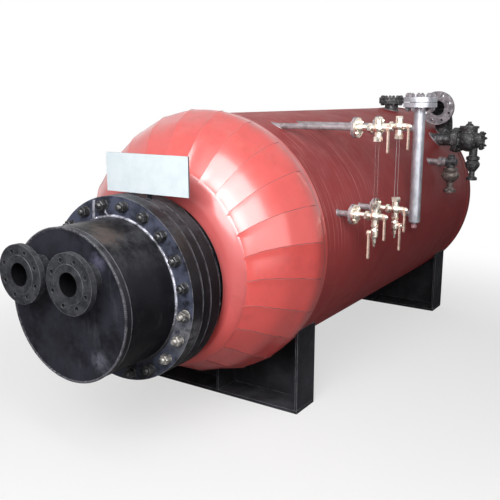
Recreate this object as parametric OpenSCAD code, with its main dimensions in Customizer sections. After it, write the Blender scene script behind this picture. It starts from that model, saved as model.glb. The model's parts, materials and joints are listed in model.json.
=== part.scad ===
// Kettle-type steam boiler: horizontal insulated shell on two saddles, with an
// eccentric front head, a flanged bolted channel, two gauge-glass sets, a level
// standpipe and the side valves. Millimetres, +Z up, +Y from the channel towards
// the rear, +X towards the gauge glasses. The origin lies on the ground under the
// middle of the front saddle.

/* [Shell] */
// outside diameter of the clad shell
shell_d = 1200; // [1000:10:1400]
// straight length of the shell between its two end seams
shell_len = 2234; // [1800:2:2800]
// wall of the shell and of its heads
shell_wall = 12; // [8:1:20]
// height of the shell's axis above the ground
axis_h = 800; // [720:5:950]
// distance from the front seam to the middle of the front saddle
seam_to_saddle = 142; // [120:1:200]
// length of the rounded front head
front_head_len = 392; // [300:2:480]
// radial width of the collar between the neck and the front head's small end
head_lip = 58; // [40:1:90]
// fullness of the front head's curve, from lean to full
front_head_full = 0.9; // [0.8:0.05:1]
// depth of the rear dished head
rear_head_len = 290; // [200:5:360]

/* [Saddles] */
// distance from the rear seam to the middle of the rear saddle
rear_inset = 145; // [110:1:300]
// width of a saddle across the shell
saddle_w = 924; // [760:2:1000]
// length of a saddle along the shell
saddle_len = 170; // [100:5:200]
// thickness of a saddle's base plate
base_t = 16; // [10:1:25]
// thickness of the web and rib plates
plate_t = 12; // [8:1:20]

/* [Channel] */
// how far the channel's axis lies below the shell's axis
channel_drop = 95; // [60:1:120]
// outside diameter of the channel and of the neck
channel_d = 600; // [560:2:630]
// wall of the channel and of the neck
channel_wall = 18; // [12:1:30]
// length of the channel from its flange to the front of its cover
channel_len = 276; // [220:2:360]
// thickness of the channel's flat cover
cover_t = 30; // [20:1:45]
// radial width of the body flanges outside the channel's wall
flange_w = 85; // [70:1:110]
// thickness of each body flange
flange_t = 60; // [40:1:80]
// thickness of the tube sheet
sheet_t = 45; // [30:1:60]
// thickness of each gasket
gasket_t = 5; // [3:1:8]
// free length of the neck between its flange and the front head
neck_gap = 55; // [40:1:90]

/* [Channel nozzles] */
// distance of each nozzle from the middle plane
nozzle_side = 130; // [120:1:150]
// height of the nozzles above the channel's axis
nozzle_rise = 127; // [90:1:140]
// distance from the cover to a nozzle's face
nozzle_proj = 106; // [80:1:160]
// bore of a nozzle
nozzle_bore = 88; // [80:1:110]
// outside diameter of a nozzle's neck
nozzle_od = 116; // [112:1:130]
// outside diameter of a nozzle's flange
nozzle_flange_d = 228; // [210:1:236]
// thickness of a nozzle's flange
nozzle_flange_t = 26; // [18:1:32]
// bolt circle of a nozzle's flange
nozzle_pcd = 180; // [170:1:190]
// diameter of the flange bolt holes
bolt_hole_d = 18; // [14:1:22]
// number of bolt holes in a flange
bolt_holes = 8; // [4:4:12]

/* [Gauge glasses] */
// distance of the first gauge set behind the front seam
gauge_first = 203; // [170:1:260]
// distance between the two gauge sets along the shell
gauge_pitch = 239; // [200:1:300]
// distance of the upper cocks below the shell's crown
gauge_drop = 57; // [40:1:120]
// distance between the upper and the lower cocks
gauge_span = 382; // [320:1:440]
// distance of the pipe flanges' faces beyond the shell's side
gauge_reach = 60; // [50:1:120]
// distance of the glasses beyond the pipe flanges' faces
cock_reach = 98; // [88:1:130]
// outside diameter of the gauge pipes
gauge_pipe_d = 27; // [20:1:34]
// diameter of the gauge pipes' flanges
gauge_flange_d = 92; // [76:1:110]
// outside diameter of the glass tubes
glass_d = 16; // [12:1:20]
// length of a cock's lever from its spindle
lever_len = 98; // [80:1:110]
// length of a drain cock's lever from its spindle
drain_lever_len = 112; // [90:1:125]

/* [Standpipe] */
// clear gap between the shell and the standpipe
stand_gap = 32; // [20:1:80]
// distance of the standpipe behind the front seam
stand_back = 974; // [800:2:1200]
// outside diameter of the standpipe
stand_d = 60; // [48:1:76]
// height of the standpipe's lower end above the shell's axis
stand_low = 8; // [0:1:60]
// height of the standpipe's flange above the shell's crown
stand_above = 22; // [10:1:80]
// height of the lower branch above the standpipe's foot
branch_low = 50; // [40:1:120]
// distance of the upper branch below the standpipe's flange
branch_drop = 110; // [80:1:160]
// outside diameter of the standpipe's branches
branch_d = 34; // [26:1:42]
// diameter of the standpipe's flange and cover
stand_flange_d = 172; // [140:1:190]
// thickness of the standpipe's flange and of its cover
stand_flange_t = 24; // [16:1:30]

/* [Top connections] */
// distance of the outlet elbow in from the shell's side
outlet_in = 170; // [140:1:220]
// distance of the outlet's face in front of the rear seam
outlet_from_rear = 284; // [250:2:400]
// height of the outlet's axis above the shell's crown
outlet_rise = 4; // [0:1:60]
// bend radius of the outlet elbow
elbow_r = 140; // [110:1:150]
// outside diameter of the outlet elbow's pipe
outlet_od = 114; // [100:1:120]
// bore of the outlet elbow and of its flange
outlet_bore = 98; // [80:1:104]
// thickness of the outlet's flange
outlet_flange_t = 24; // [18:1:30]
// outside diameter of the outlet's flange
outlet_flange_d = 216; // [190:1:230]
// distance of the top nozzle out from the middle plane
top_out = 112; // [0:1:160]
// distance of the top nozzle in front of the rear seam
top_from_rear = 284; // [200:2:500]
// height of the top nozzle's flange face above the shell's crown
top_rise = 52; // [40:1:90]
// diameter of the top nozzle's flange and cover
top_flange_d = 168; // [140:1:190]

/* [Side valves] */
// distance of the feed valve in front of the rear seam
feed_from_rear = 674; // [560:2:800]
// height of the feed pipe above the shell's axis
feed_high = 290; // [250:1:330]
// distance of the side valves' axes beyond the shell's side
valve_reach = 64; // [50:1:110]
// distance of the stop valve in front of the rear seam
stop_from_rear = 334; // [260:2:420]
// height of the stop valve above the shell's axis
stop_high = 404; // [370:1:430]
// radius of the stop valve's round body
stop_r = 72; // [60:1:80]

/* [Name board] */
// width of the plain board
board_w = 426; // [300:2:480]
// height of the plain board
board_h = 158; // [120:2:200]
// distance of the board's middle from the middle plane
board_side = 96; // [40:1:120]
// distance between the board's two posts
post_pitch = 90; // [60:2:300]

/* [Hidden] */
$fn = 72;
shell_r = shell_d / 2;
head_sides = 72;
head_steps = 9;
seam_y = -seam_to_saddle;
rear_y = seam_y + shell_len;
channel_z = axis_h - channel_drop;
small_r = channel_d / 2 + head_lip;
flange_d = channel_d + 2 * flange_w;
saddle_pitch = shell_len - seam_to_saddle - rear_inset;
head_y = seam_y - front_head_len;
neck_y = head_y - neck_gap;
sheet_y = neck_y - flange_t - gasket_t;
face_y = sheet_y - sheet_t - gasket_t - flange_t;
cover_y = face_y - channel_len;
bore_r = channel_d / 2 - channel_wall;
gasket_r = channel_d / 2 + 22;
gauge_ys = [seam_y + gauge_first, seam_y + gauge_first + gauge_pitch];
spindle_r = 6;
running_gap = 0.3;
lever_w = 15;
lever_t = 7;
hub_len = 12;
drain_drop = 76;
gauge_high = shell_r - gauge_drop;
gauge_low = gauge_high - gauge_span;
gauge_face = shell_r + gauge_reach;
gauge_out = gauge_face + cock_reach;
gland_h = 46;
spindle_x = gauge_out + 40;
drain_spindle = 20;
stand_y = seam_y + stand_back;
stand_out = shell_r + stand_gap + stand_d / 2;
stand_high = shell_r + stand_above;
outlet_y = rear_y - outlet_from_rear;
outlet_out = shell_r - outlet_in;
outlet_high = shell_r + outlet_rise;
top_y = rear_y - top_from_rear;
feed_y = rear_y - feed_from_rear;
feed_out = shell_r + valve_reach;
stop_out = feed_out;
feed_z = axis_h + feed_high;
stop_y = rear_y - stop_from_rear;
stop_z = axis_h + stop_high;
stop_face = stop_out - stop_r - 4;
stop_pipe_d = 76;
stop_flange_d = 158;
globe_neck = 48;
board_y = sheet_y - sheet_t / 2;
board_z = channel_z + flange_d / 2;
board_t = 8;

steel_red = [0.62, 0.16, 0.17];
black = [0.07, 0.07, 0.08];
grey = [0.45, 0.46, 0.47];
brass = [0.80, 0.64, 0.34];
silver = [0.68, 0.70, 0.74];
iron = [0.20, 0.20, 0.21];
white = [0.90, 0.91, 0.90];
clear = [0.80, 0.88, 0.88, 0.4];

// a solid of revolution's blank, laid along +Y from the given point
module along_y(x, y, z) {
    translate([x, y, z]) rotate([-90, 0, 0]) children();
}

// the same, laid along +X
module along_x(x, y, z) {
    translate([x, y, z]) rotate([0, 90, 0]) children();
}

// a flat ring or a tube, standing on its lower face
module ring(r_out, r_in, h) {
    difference() {
        cylinder(r = r_out, h = h);
        translate([0, 0, -1]) cylinder(r = r_in, h = h + 2);
    }
}

// the full shell cylinder, which set-on pieces are trimmed to
module shell_body() {
    along_y(0, seam_y, axis_h) cylinder(r = shell_r, h = shell_len, $fn = 720);
}

// distance of the shell's side from the middle plane at a height above the axis
function shell_x(h) = sqrt(shell_r * shell_r - h * h);

// height of the shell's skin above the axis at a distance from the middle plane
function shell_z(x) = sqrt(shell_r * shell_r - x * x);

// radius and drop of the front head at a station from 0 at the seam to 1 at its small end
function head_mix(t) = pow(cos(t * 90), front_head_full);
function head_y_at(t) = seam_y - front_head_len * pow(sin(t * 90), front_head_full);
function head_r_at(t) = small_r + (shell_r - small_r) * head_mix(t);
function head_z_at(t) = axis_h - channel_drop * (1 - head_mix(t));

// one ring of points of the front head's loft, with its skin taken in by the given amount
function head_ring(t, inset) = [for (j = [0 : head_sides - 1])
    let (r = head_r_at(t) - inset, a = j * 360 / head_sides)
    [r * cos(a), head_y_at(t), head_z_at(t) + r * sin(a)]];

// straight cladding between the two end seams
module shell_barrel() {
    color(steel_red) along_y(0, seam_y, axis_h) ring(shell_r, shell_r - shell_wall, shell_len);
}

// rounded front head, lofted from the shell's circle down to the lower channel axis
module front_head() {
    outer = [for (i = [0 : head_steps]) head_ring(i / head_steps, 0)];
    inner = [for (i = [head_steps : -1 : 0]) head_ring(i / head_steps, shell_wall)];
    rings = concat(outer, inner);
    n = len(rings);
    color(steel_red) polyhedron(
        points = [for (r = rings) each r],
        faces = [for (i = [0 : n - 1], j = [0 : head_sides - 1])
            let (i2 = (i + 1) % n, j2 = (j + 1) % head_sides)
            [i * head_sides + j, i * head_sides + j2, i2 * head_sides + j2, i2 * head_sides + j]],
        convexity = 4);
}

// dished rear head
module rear_head() {
    steps = 14;
    outer = [for (i = [0 : steps]) [shell_r * cos(i * 90 / steps), rear_head_len * sin(i * 90 / steps)]];
    inner = [for (i = [steps : -1 : 0]) [(shell_r - shell_wall) * cos(i * 90 / steps),
        (rear_head_len - shell_wall) * sin(i * 90 / steps)]];
    color(steel_red) along_y(0, rear_y, axis_h) rotate_extrude() polygon(concat(outer, inner));
}

// ring plate that closes the front head around the neck
module head_collar() {
    color(black) along_y(0, head_y, channel_z) ring(small_r - shell_wall, channel_d / 2, 16);
}

// short neck between the shell flange and the front head
module neck() {
    color(black) along_y(0, neck_y, channel_z) ring(channel_d / 2, bore_r, neck_gap + 40);
}

// body flange on the neck
module shell_flange() {
    color(black) along_y(0, neck_y - flange_t, channel_z) ring(flange_d / 2, bore_r, flange_t);
}

// gaskets on the two faces of the tube sheet
module gaskets() {
    color(grey) {
        along_y(0, sheet_y, channel_z) ring(gasket_r, bore_r, gasket_t);
        along_y(0, sheet_y - sheet_t - gasket_t, channel_z) ring(gasket_r, bore_r, gasket_t);
    }
}

// tube sheet clamped between the two body flanges
module tube_sheet() {
    color(black) along_y(0, sheet_y - sheet_t, channel_z) cylinder(r = flange_d / 2, h = sheet_t);
}

// body flange on the channel
module channel_flange() {
    color(black) along_y(0, face_y, channel_z) ring(flange_d / 2, bore_r, flange_t);
}

// round wall of the channel
module channel_barrel() {
    color(black) along_y(0, cover_y + cover_t, channel_z) ring(channel_d / 2, bore_r, channel_len - cover_t);
}

// flat cover of the channel, with a passage behind each nozzle
module channel_cover() {
    color(black) difference() {
        along_y(0, cover_y, channel_z) rotate_extrude()
            polygon([[0, 0], [channel_d / 2 - 6, 0], [channel_d / 2, 6], [channel_d / 2, cover_t], [0, cover_t]]);
        for (s = [-1, 1]) {
            along_y(s * nozzle_side, cover_y - 1, channel_z + nozzle_rise)
                cylinder(d = nozzle_bore, h = cover_t + 2);
        }
    }
}

// flanged nozzle on the cover, with a raised face and open bolt holes
module channel_nozzle(side) {
    x = side * nozzle_side;
    y = cover_y - nozzle_proj;
    z = channel_z + nozzle_rise;
    color(black) difference() {
        union() {
            along_y(x, y + 2, z) cylinder(d = nozzle_flange_d, h = nozzle_flange_t - 2);
            along_y(x, y, z) cylinder(d = nozzle_pcd - bolt_hole_d - 14, h = 4);
            along_y(x, y + nozzle_flange_t - 1, z)
                cylinder(d1 = nozzle_od + 20, d2 = nozzle_od, h = 26);
            along_y(x, y + nozzle_flange_t, z) cylinder(d = nozzle_od, h = nozzle_proj - nozzle_flange_t);
        }
        along_y(x, y - 1, z) cylinder(d = nozzle_bore, h = nozzle_proj + 2);
        for (i = [0 : bolt_holes - 1]) {
            along_y(x, y - 1, z) rotate((i + 0.5) * 360 / bolt_holes) translate([nozzle_pcd / 2, 0, 0])
                cylinder(d = bolt_hole_d, h = nozzle_flange_t + 2);
        }
    }
}

module left_nozzle() {
    channel_nozzle(-1);
}

module right_nozzle() {
    channel_nozzle(1);
}

// base plates of the two saddles
module saddle_bases() {
    color(black) for (y = [0, saddle_pitch]) {
        translate([-saddle_w / 2, y - saddle_len / 2, 0]) cube([saddle_w, saddle_len, base_t]);
    }
}

// cross plate of each saddle, cut to the shell
module saddle_webs() {
    color(black) difference() {
        for (y = [0, saddle_pitch]) {
            translate([-saddle_w / 2 + plate_t, y + saddle_len / 2 - 2 * plate_t, base_t])
                cube([saddle_w - 2 * plate_t, plate_t, axis_h - base_t - shell_r / 2]);
        }
        shell_body();
    }
}

// end and middle stiffeners of each saddle
module saddle_ribs() {
    color(black) difference() {
        for (y = [0, saddle_pitch]) {
            for (s = [-1, 1]) {
                translate([s * (saddle_w - plate_t) / 2 - plate_t / 2, y - saddle_len / 2, base_t])
                    cube([plate_t, saddle_len, axis_h - base_t - shell_r / 2]);
            }
            translate([-plate_t / 2, y - saddle_len / 2, base_t])
                cube([plate_t, saddle_len - 2 * plate_t, axis_h - base_t - shell_r / 2]);
        }
        shell_body();
    }
}

// flanged pipe from the shell out to a gauge cock
module gauge_pipe(y, h) {
    z = axis_h + h;
    start = shell_x(h + gauge_pipe_d / 2) - 2;
    difference() {
        union() {
            along_x(start, y, z) cylinder(d = gauge_pipe_d, h = gauge_face - start - 2);
            along_x(gauge_face - 12, y, z) cylinder(d = gauge_flange_d, h = 12);
            along_x(gauge_face - 22, y, z) cylinder(d1 = gauge_pipe_d, d2 = gauge_pipe_d + 16, h = 10.5);
        }
        shell_body();
    }
}

module upper_gauge_pipes() {
    color(grey) for (y = gauge_ys) {
        gauge_pipe(y, gauge_high);
    }
}

module lower_gauge_pipes() {
    color(grey) for (y = gauge_ys) {
        gauge_pipe(y, gauge_low);
    }
}

// gauge cock: flange, union, plug body, stuffing box for the glass and a lever spindle
module gauge_cock(y, z, up) {
    x = gauge_out;
    difference() {
        union() {
            along_x(gauge_face, y, z) cylinder(d = gauge_flange_d - 6, h = 9);
            along_x(gauge_face + 9, y, z) cylinder(d1 = 44, d2 = 26, h = 16);
            along_x(gauge_face + 24, y, z) cylinder(d = 26, h = x - gauge_face - 24);
            along_x(x - 44, y, z) cylinder(d = 42, h = 15, $fn = 6);
            translate([x, y, z]) sphere(r = 23);
            translate([x, y, z - 36]) cylinder(d = 32, h = 72);
            translate([x, y, z + up * gland_h - 10]) cylinder(d = 44, h = 20, $fn = 6);
            translate([x, y, z - up * 41 - 5]) cylinder(d = 36, h = 10, $fn = 6);
            along_x(x, y, z) cylinder(d = 28, h = spindle_x - x - 0.6);
            along_x(x, y, z) cylinder(r = spindle_r, h = spindle_x + hub_len + 2 - x);
            along_x(spindle_x + hub_len + 0.6, y, z) cylinder(d1 = 22, d2 = 12, h = 8);
        }
        translate([x, y, z + up * gland_h - 10.5]) cylinder(d = glass_d, h = 21);
    }
}

module steam_cocks() {
    color(brass) for (y = gauge_ys) {
        gauge_cock(y, axis_h + gauge_high, -1);
    }
}

module water_cocks() {
    color(brass) for (y = gauge_ys) {
        gauge_cock(y, axis_h + gauge_low, 1);
    }
}

// drain cock under a water cock, with its lever spindle to one side
module drain_cock(y, side) {
    x = gauge_out;
    z = axis_h + gauge_low - drain_drop;
    translate([x, y, z]) rotate_extrude()
        polygon([[0, 30], [13, 30], [13, 22], [17, 14], [17, -14], [10, -24], [10, -40], [7, -44],
            [5, -60], [0, -60]]);
    along_x(x, y, z) mirror([0, 0, side < 0 ? 1 : 0]) {
        cylinder(d = 24, h = drain_spindle - 0.6);
        cylinder(r = spindle_r, h = drain_spindle + hub_len + 2);
        translate([0, 0, drain_spindle + hub_len + 0.6]) cylinder(d1 = 20, d2 = 14, h = 4);
    }
}

module drain_cocks() {
    color(brass) {
        drain_cock(gauge_ys[0], -1);
        drain_cock(gauge_ys[1], 1);
    }
}

// glass tubes, seated in the stuffing boxes of the cocks
module gauge_glasses() {
    low = axis_h + gauge_low + gland_h - 9.5;
    high = axis_h + gauge_high - gland_h + 9.5;
    color(clear) for (y = gauge_ys) {
        translate([gauge_out, y, low]) ring(glass_d / 2, glass_d / 2 - 2.5, high - low);
    }
}

// flat hanging lever with a bored hub, its spindle along +X from the given point
module lever(x, y, z, length) {
    color(brass) difference() {
        union() {
            along_x(x, y, z) cylinder(d = 24, h = hub_len);
            translate([x + (hub_len - lever_t) / 2, y - lever_w / 2, z - length])
                cube([lever_t, lever_w, length]);
            along_x(x + (hub_len - lever_t) / 2, y, z - length) cylinder(d = lever_w, h = lever_t);
        }
        along_x(x - 1, y, z) cylinder(r = spindle_r + running_gap, h = hub_len + 2);
    }
}

module front_steam_lever() {
    lever(spindle_x, gauge_ys[0], axis_h + gauge_high, lever_len);
}

module rear_steam_lever() {
    lever(spindle_x, gauge_ys[1], axis_h + gauge_high, lever_len);
}

module front_water_lever() {
    lever(spindle_x, gauge_ys[0], axis_h + gauge_low, lever_len);
}

module rear_water_lever() {
    lever(spindle_x, gauge_ys[1], axis_h + gauge_low, lever_len);
}

module front_drain_lever() {
    lever(gauge_out - drain_spindle - hub_len, gauge_ys[0], axis_h + gauge_low - drain_drop, drain_lever_len);
}

module rear_drain_lever() {
    lever(gauge_out + drain_spindle, gauge_ys[1], axis_h + gauge_low - drain_drop, drain_lever_len);
}

// level standpipe, closed below with a drain boss
module standpipe_tube() {
    r = stand_d / 2;
    color(silver) translate([stand_out, stand_y, axis_h + stand_low]) rotate_extrude()
        polygon([[0, -26], [9, -26], [9, 0], [r - 6, 0], [r, 6], [r, stand_high - stand_low],
            [r - 5, stand_high - stand_low], [r - 5, 10], [0, 10]]);
}

// flange on the standpipe
module standpipe_flange() {
    color(silver) translate([stand_out, stand_y, axis_h + stand_high])
        ring(stand_flange_d / 2, stand_d / 2 - 5, stand_flange_t);
}

// gasket between the standpipe's flange and its cover
module standpipe_gasket() {
    color(grey) translate([stand_out, stand_y, axis_h + stand_high + stand_flange_t])
        ring(stand_flange_d / 2 - 34, stand_d / 2 - 5, 3);
}

// bolted cover on the standpipe
module standpipe_cover() {
    color(silver) translate([stand_out, stand_y, axis_h + stand_high + stand_flange_t + 3])
        cylinder(d = stand_flange_d, h = stand_flange_t);
}

// pipes that join the standpipe to the steam and water spaces
module standpipe_branches() {
    color(grey) difference() {
        for (h = [stand_low + branch_low, stand_high - branch_drop]) {
            start = shell_x(h + branch_d / 2) - 2;
            along_x(start, stand_y, axis_h + h) cylinder(d = branch_d, h = stand_out - start);
        }
        shell_body();
        translate([stand_out, stand_y, axis_h + stand_low]) cylinder(d = stand_d, h = stand_high - stand_low);
    }
}

// elbow from the shell's shoulder to the forward-facing outlet
module outlet_elbow() {
    x = outlet_out;
    y = outlet_y + outlet_flange_t;
    z = axis_h + outlet_high;
    foot = shell_z(outlet_out + outlet_od / 2) - outlet_od;
    color(iron) difference() {
        union() {
            translate([x, y, z - elbow_r]) rotate([0, -90, 0]) rotate_extrude(angle = 90)
                translate([elbow_r, 0]) difference() {
                    circle(d = outlet_od);
                    circle(d = outlet_bore);
                }
            translate([x, y + elbow_r, axis_h + foot])
                ring(outlet_od / 2, outlet_bore / 2, outlet_high - elbow_r - foot);
        }
        shell_body();
    }
}

// open outlet flange that faces the front
module outlet_flange() {
    z = axis_h + outlet_high;
    color(iron) difference() {
        along_y(outlet_out, outlet_y, z) cylinder(d = outlet_flange_d, h = outlet_flange_t);
        along_y(outlet_out, outlet_y - 1, z) cylinder(d = outlet_bore, h = outlet_flange_t + 2);
        for (i = [0 : bolt_holes - 1]) {
            along_y(outlet_out, outlet_y - 1, z) rotate((i + 0.5) * 360 / bolt_holes)
                translate([outlet_flange_d / 2 - 24, 0, 0]) cylinder(d = bolt_hole_d, h = outlet_flange_t + 2);
        }
    }
}

// flanged nozzle near the crown
module top_nozzle() {
    color(iron) difference() {
        union() {
            translate([top_out, top_y, axis_h + shell_z(top_out + 45) - 2])
                cylinder(d = 90, h = shell_r + top_rise - shell_z(top_out + 45) - 2);
            translate([top_out, top_y, axis_h + shell_r + top_rise - 20]) cylinder(d = top_flange_d, h = 20);
        }
        shell_body();
        translate([top_out, top_y, axis_h]) cylinder(d = 78, h = shell_r + top_rise + 1);
    }
}

// blank cover on the crown nozzle
module top_cover() {
    color(iron) translate([top_out, top_y, axis_h + shell_r + top_rise])
        cylinder(d = top_flange_d, h = 20);
}

// feed pipe out of the shell, with its union nut
module feed_pipe() {
    start = shell_x(feed_high + branch_d / 2) - 2;
    color(grey) difference() {
        union() {
            along_x(start, feed_y, feed_z) cylinder(d = branch_d, h = feed_out - start - 30);
            along_x(feed_out - 76, feed_y, feed_z) cylinder(d = 58, h = 24, $fn = 6);
            along_x(feed_out - 46, feed_y, feed_z) cylinder(d = 52, h = 16);
        }
        shell_body();
    }
}

// tee that turns the feed pipe down to its valve
module feed_tee() {
    color(iron) {
        along_x(feed_out - 30, feed_y, feed_z) cylinder(d = 50, h = 62);
        translate([feed_out, feed_y, feed_z - 34]) cylinder(d = 46, h = 66);
        translate([feed_out, feed_y, feed_z + 32]) cylinder(d = 40, h = 14, $fn = 6);
    }
}

// check valve with a round bowl, below the tee
module feed_valve() {
    color(iron) translate([feed_out, feed_y, feed_z - 34]) rotate_extrude()
        polygon([[0, 0], [44, 0], [44, -14], [36, -17], [52, -30], [54, -46], [46, -62], [30, -78],
            [19, -90], [19, -116], [24, -124], [36, -130], [36, -146], [0, -146]]);
}

// flanged pipe out of the shell to the stop valve
module stop_pipe() {
    start = shell_x(stop_high + stop_pipe_d / 2) - 2;
    color(iron) difference() {
        union() {
            along_x(start, stop_y, stop_z) cylinder(d = stop_pipe_d, h = stop_face - start - 2);
            along_x(stop_face - 18, stop_y, stop_z) cylinder(d = stop_flange_d, h = 18);
        }
        shell_body();
    }
}

// turned outline of the stop valve's globe, with its inlet flange and end cap
module stop_globe() {
    along_x(stop_out, stop_y, stop_z) rotate_extrude() polygon(concat(
        [[0, -stop_r - 4], [stop_flange_d / 2, -stop_r - 4], [stop_flange_d / 2, -stop_r + 14]],
        [[globe_neck + 10, -stop_r + 14]],
        [for (a = [130 : -11 : 42]) [stop_r * sin(a), stop_r * cos(a)]],
        [[globe_neck, stop_r + 2], [globe_neck + 11, stop_r + 2]],
        [[globe_neck + 11, stop_r + 16], [0, stop_r + 16]]
    ));
}

// cast body of the stop valve, with its inlet flange and end cap
module stop_valve_body() {
    color(iron) stop_globe();
}

// bonnet of the stop valve, with its closed spindle cap
module stop_valve_bonnet() {
    color(iron) difference() {
        translate([stop_out, stop_y, stop_z]) rotate_extrude()
            polygon([[0, 40], [52, 40], [52, 76], [60, 76], [60, 90], [28, 92], [18, 104], [12, 106],
                [12, 118], [0, 118]]);
        stop_globe();
    }
}

// outlet branch and bowl under the stop valve
module stop_valve_outlet() {
    color(iron) difference() {
        translate([stop_out + 34, stop_y, stop_z]) rotate_extrude()
            polygon([[0, -30], [26, -30], [26, -96], [42, -104], [42, -120], [34, -126], [46, -146],
                [44, -164], [30, -184], [18, -200], [18, -226], [34, -236], [34, -252], [0, -252]]);
        stop_globe();
    }
}

// plain white board above the body flanges
module name_board() {
    color(white) translate([board_side - board_w / 2, board_y - board_t, board_z + 6])
        cube([board_w, board_t, board_h]);
}

// flat posts that stand on the rim of the tube sheet and carry the board
module board_posts() {
    color(black) difference() {
        for (x = [board_side - 36 - post_pitch / 2, board_side - 36 + post_pitch / 2]) {
            translate([x - 14, board_y, channel_z + flange_d / 4]) cube([28, 6, flange_d / 4 + board_h * 0.8]);
        }
        along_y(0, sheet_y - sheet_t - 1, channel_z) cylinder(r = flange_d / 2, h = sheet_t + 2);
    }
}

shell_barrel();
front_head();
rear_head();
head_collar();
neck();
shell_flange();
gaskets();
tube_sheet();
channel_flange();
channel_barrel();
channel_cover();
left_nozzle();
right_nozzle();
saddle_bases();
saddle_webs();
saddle_ribs();
upper_gauge_pipes();
lower_gauge_pipes();
steam_cocks();
water_cocks();
drain_cocks();
gauge_glasses();
front_steam_lever();
rear_steam_lever();
front_water_lever();
rear_water_lever();
front_drain_lever();
rear_drain_lever();
standpipe_tube();
standpipe_flange();
standpipe_gasket();
standpipe_cover();
standpipe_branches();
outlet_elbow();
outlet_flange();
top_nozzle();
top_cover();
feed_pipe();
feed_tee();
feed_valve();
stop_pipe();
stop_valve_body();
stop_valve_bonnet();
stop_valve_outlet();
name_board();
board_posts();
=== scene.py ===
import json
import math
import random

import bmesh
import bpy
from mathutils import Matrix, Vector


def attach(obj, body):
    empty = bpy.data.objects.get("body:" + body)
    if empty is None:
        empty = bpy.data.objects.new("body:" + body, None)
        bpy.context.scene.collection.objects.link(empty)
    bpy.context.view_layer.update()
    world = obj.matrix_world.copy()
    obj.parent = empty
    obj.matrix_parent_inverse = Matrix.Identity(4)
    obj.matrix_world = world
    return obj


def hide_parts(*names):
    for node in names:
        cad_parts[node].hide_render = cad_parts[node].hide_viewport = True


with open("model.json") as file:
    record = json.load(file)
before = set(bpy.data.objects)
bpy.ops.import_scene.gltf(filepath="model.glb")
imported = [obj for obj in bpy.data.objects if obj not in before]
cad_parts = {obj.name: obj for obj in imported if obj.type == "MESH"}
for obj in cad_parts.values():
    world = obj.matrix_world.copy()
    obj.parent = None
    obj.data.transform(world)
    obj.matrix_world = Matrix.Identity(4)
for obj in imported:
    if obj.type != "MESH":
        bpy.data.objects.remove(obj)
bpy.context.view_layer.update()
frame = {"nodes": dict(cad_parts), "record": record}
nodes = frame["nodes"]
scene = bpy.context.scene
rng = random.Random(7)

# ---- sizes and places of the frame, in metres

AXIS_Z = 0.800  # the shell's axis
SHELL_R = 0.600
SEAM_Y = -0.142  # where the front head meets the shell
REAR_Y = 2.092  # where the rear head meets the shell
HEAD_LEN = 0.392
HEAD_FULL = 0.9  # power of the head's curve
SMALL_R = 0.358  # radius of the head's small end
HEAD_Y = -0.534  # the head's small end
WALL = 0.012
CHANNEL_Z = 0.705  # the channel's axis
CHANNEL_R = 0.300
NECK_Y = -0.589  # rear face of the shell flange
FACE_Y = -0.764  # front face of the channel flange
COVER_Y = -1.040  # front end of the channel
NOZZLE_X, NOZZLE_Z = 0.130, 0.832
GAUGE_YS = (0.061, 0.300)
GAUGE_HIGH, GAUGE_LOW = 1.343, 0.961
GAUGE_FACE = 0.660  # joint between a gauge pipe's flange and its cock
GAUGE_PIPE_R = 0.0135
STAND_X, STAND_Y = 0.662, 0.832
STAND_FOOT_Z = 0.779
BRANCH_ZS = (0.858, 1.312)
BRANCH_R = 0.017
FEED_Y, FEED_Z = 1.418, 1.090
STOP_X, STOP_Y, STOP_Z = 0.664, 1.758, 1.204
STOP_PIPE_R = 0.038
CROWN_X, CROWN_Y, CROWN_R = 0.112, 1.808, 0.045
OUTLET_X, OUTLET_Y, OUTLET_R = 0.430, 1.972, 0.057

UP, DOWN = (0, 0, 1), (0, 0, -1)
OUTWARD, INWARD = (1, 0, 0), (-1, 0, 0)
FORWARD, BACKWARD = (0, -1, 0), (0, 1, 0)

# ---- meshes

NUT_CHAMFER, NUT_FACE = 0.07, 0.90  # shares of a nut's flats and of its corner radius
WASHER_R, WASHER_TOP_R, WASHER_T = 0.60, 0.56, 0.11  # shares of the nut's flats
STUD_R, STUD_PITCH = 0.30, 0.09  # shares of the nut's flats
STUD_ROOT, STUD_TIP = 0.88, 0.80  # shares of the stud's radius
SINK = 0.001  # how far a washer or stud starts inside what carries it
NUT_SINK = 0.0002


def frame_of(axis):
    """Two unit vectors square to an axis."""
    axis = Vector(axis).normalized()
    helper = Vector((0, 0, 1)) if abs(axis.z) < 0.9 else Vector((1, 0, 0))
    u = helper.cross(axis).normalized()
    return u, axis.cross(u).normalized()


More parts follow.
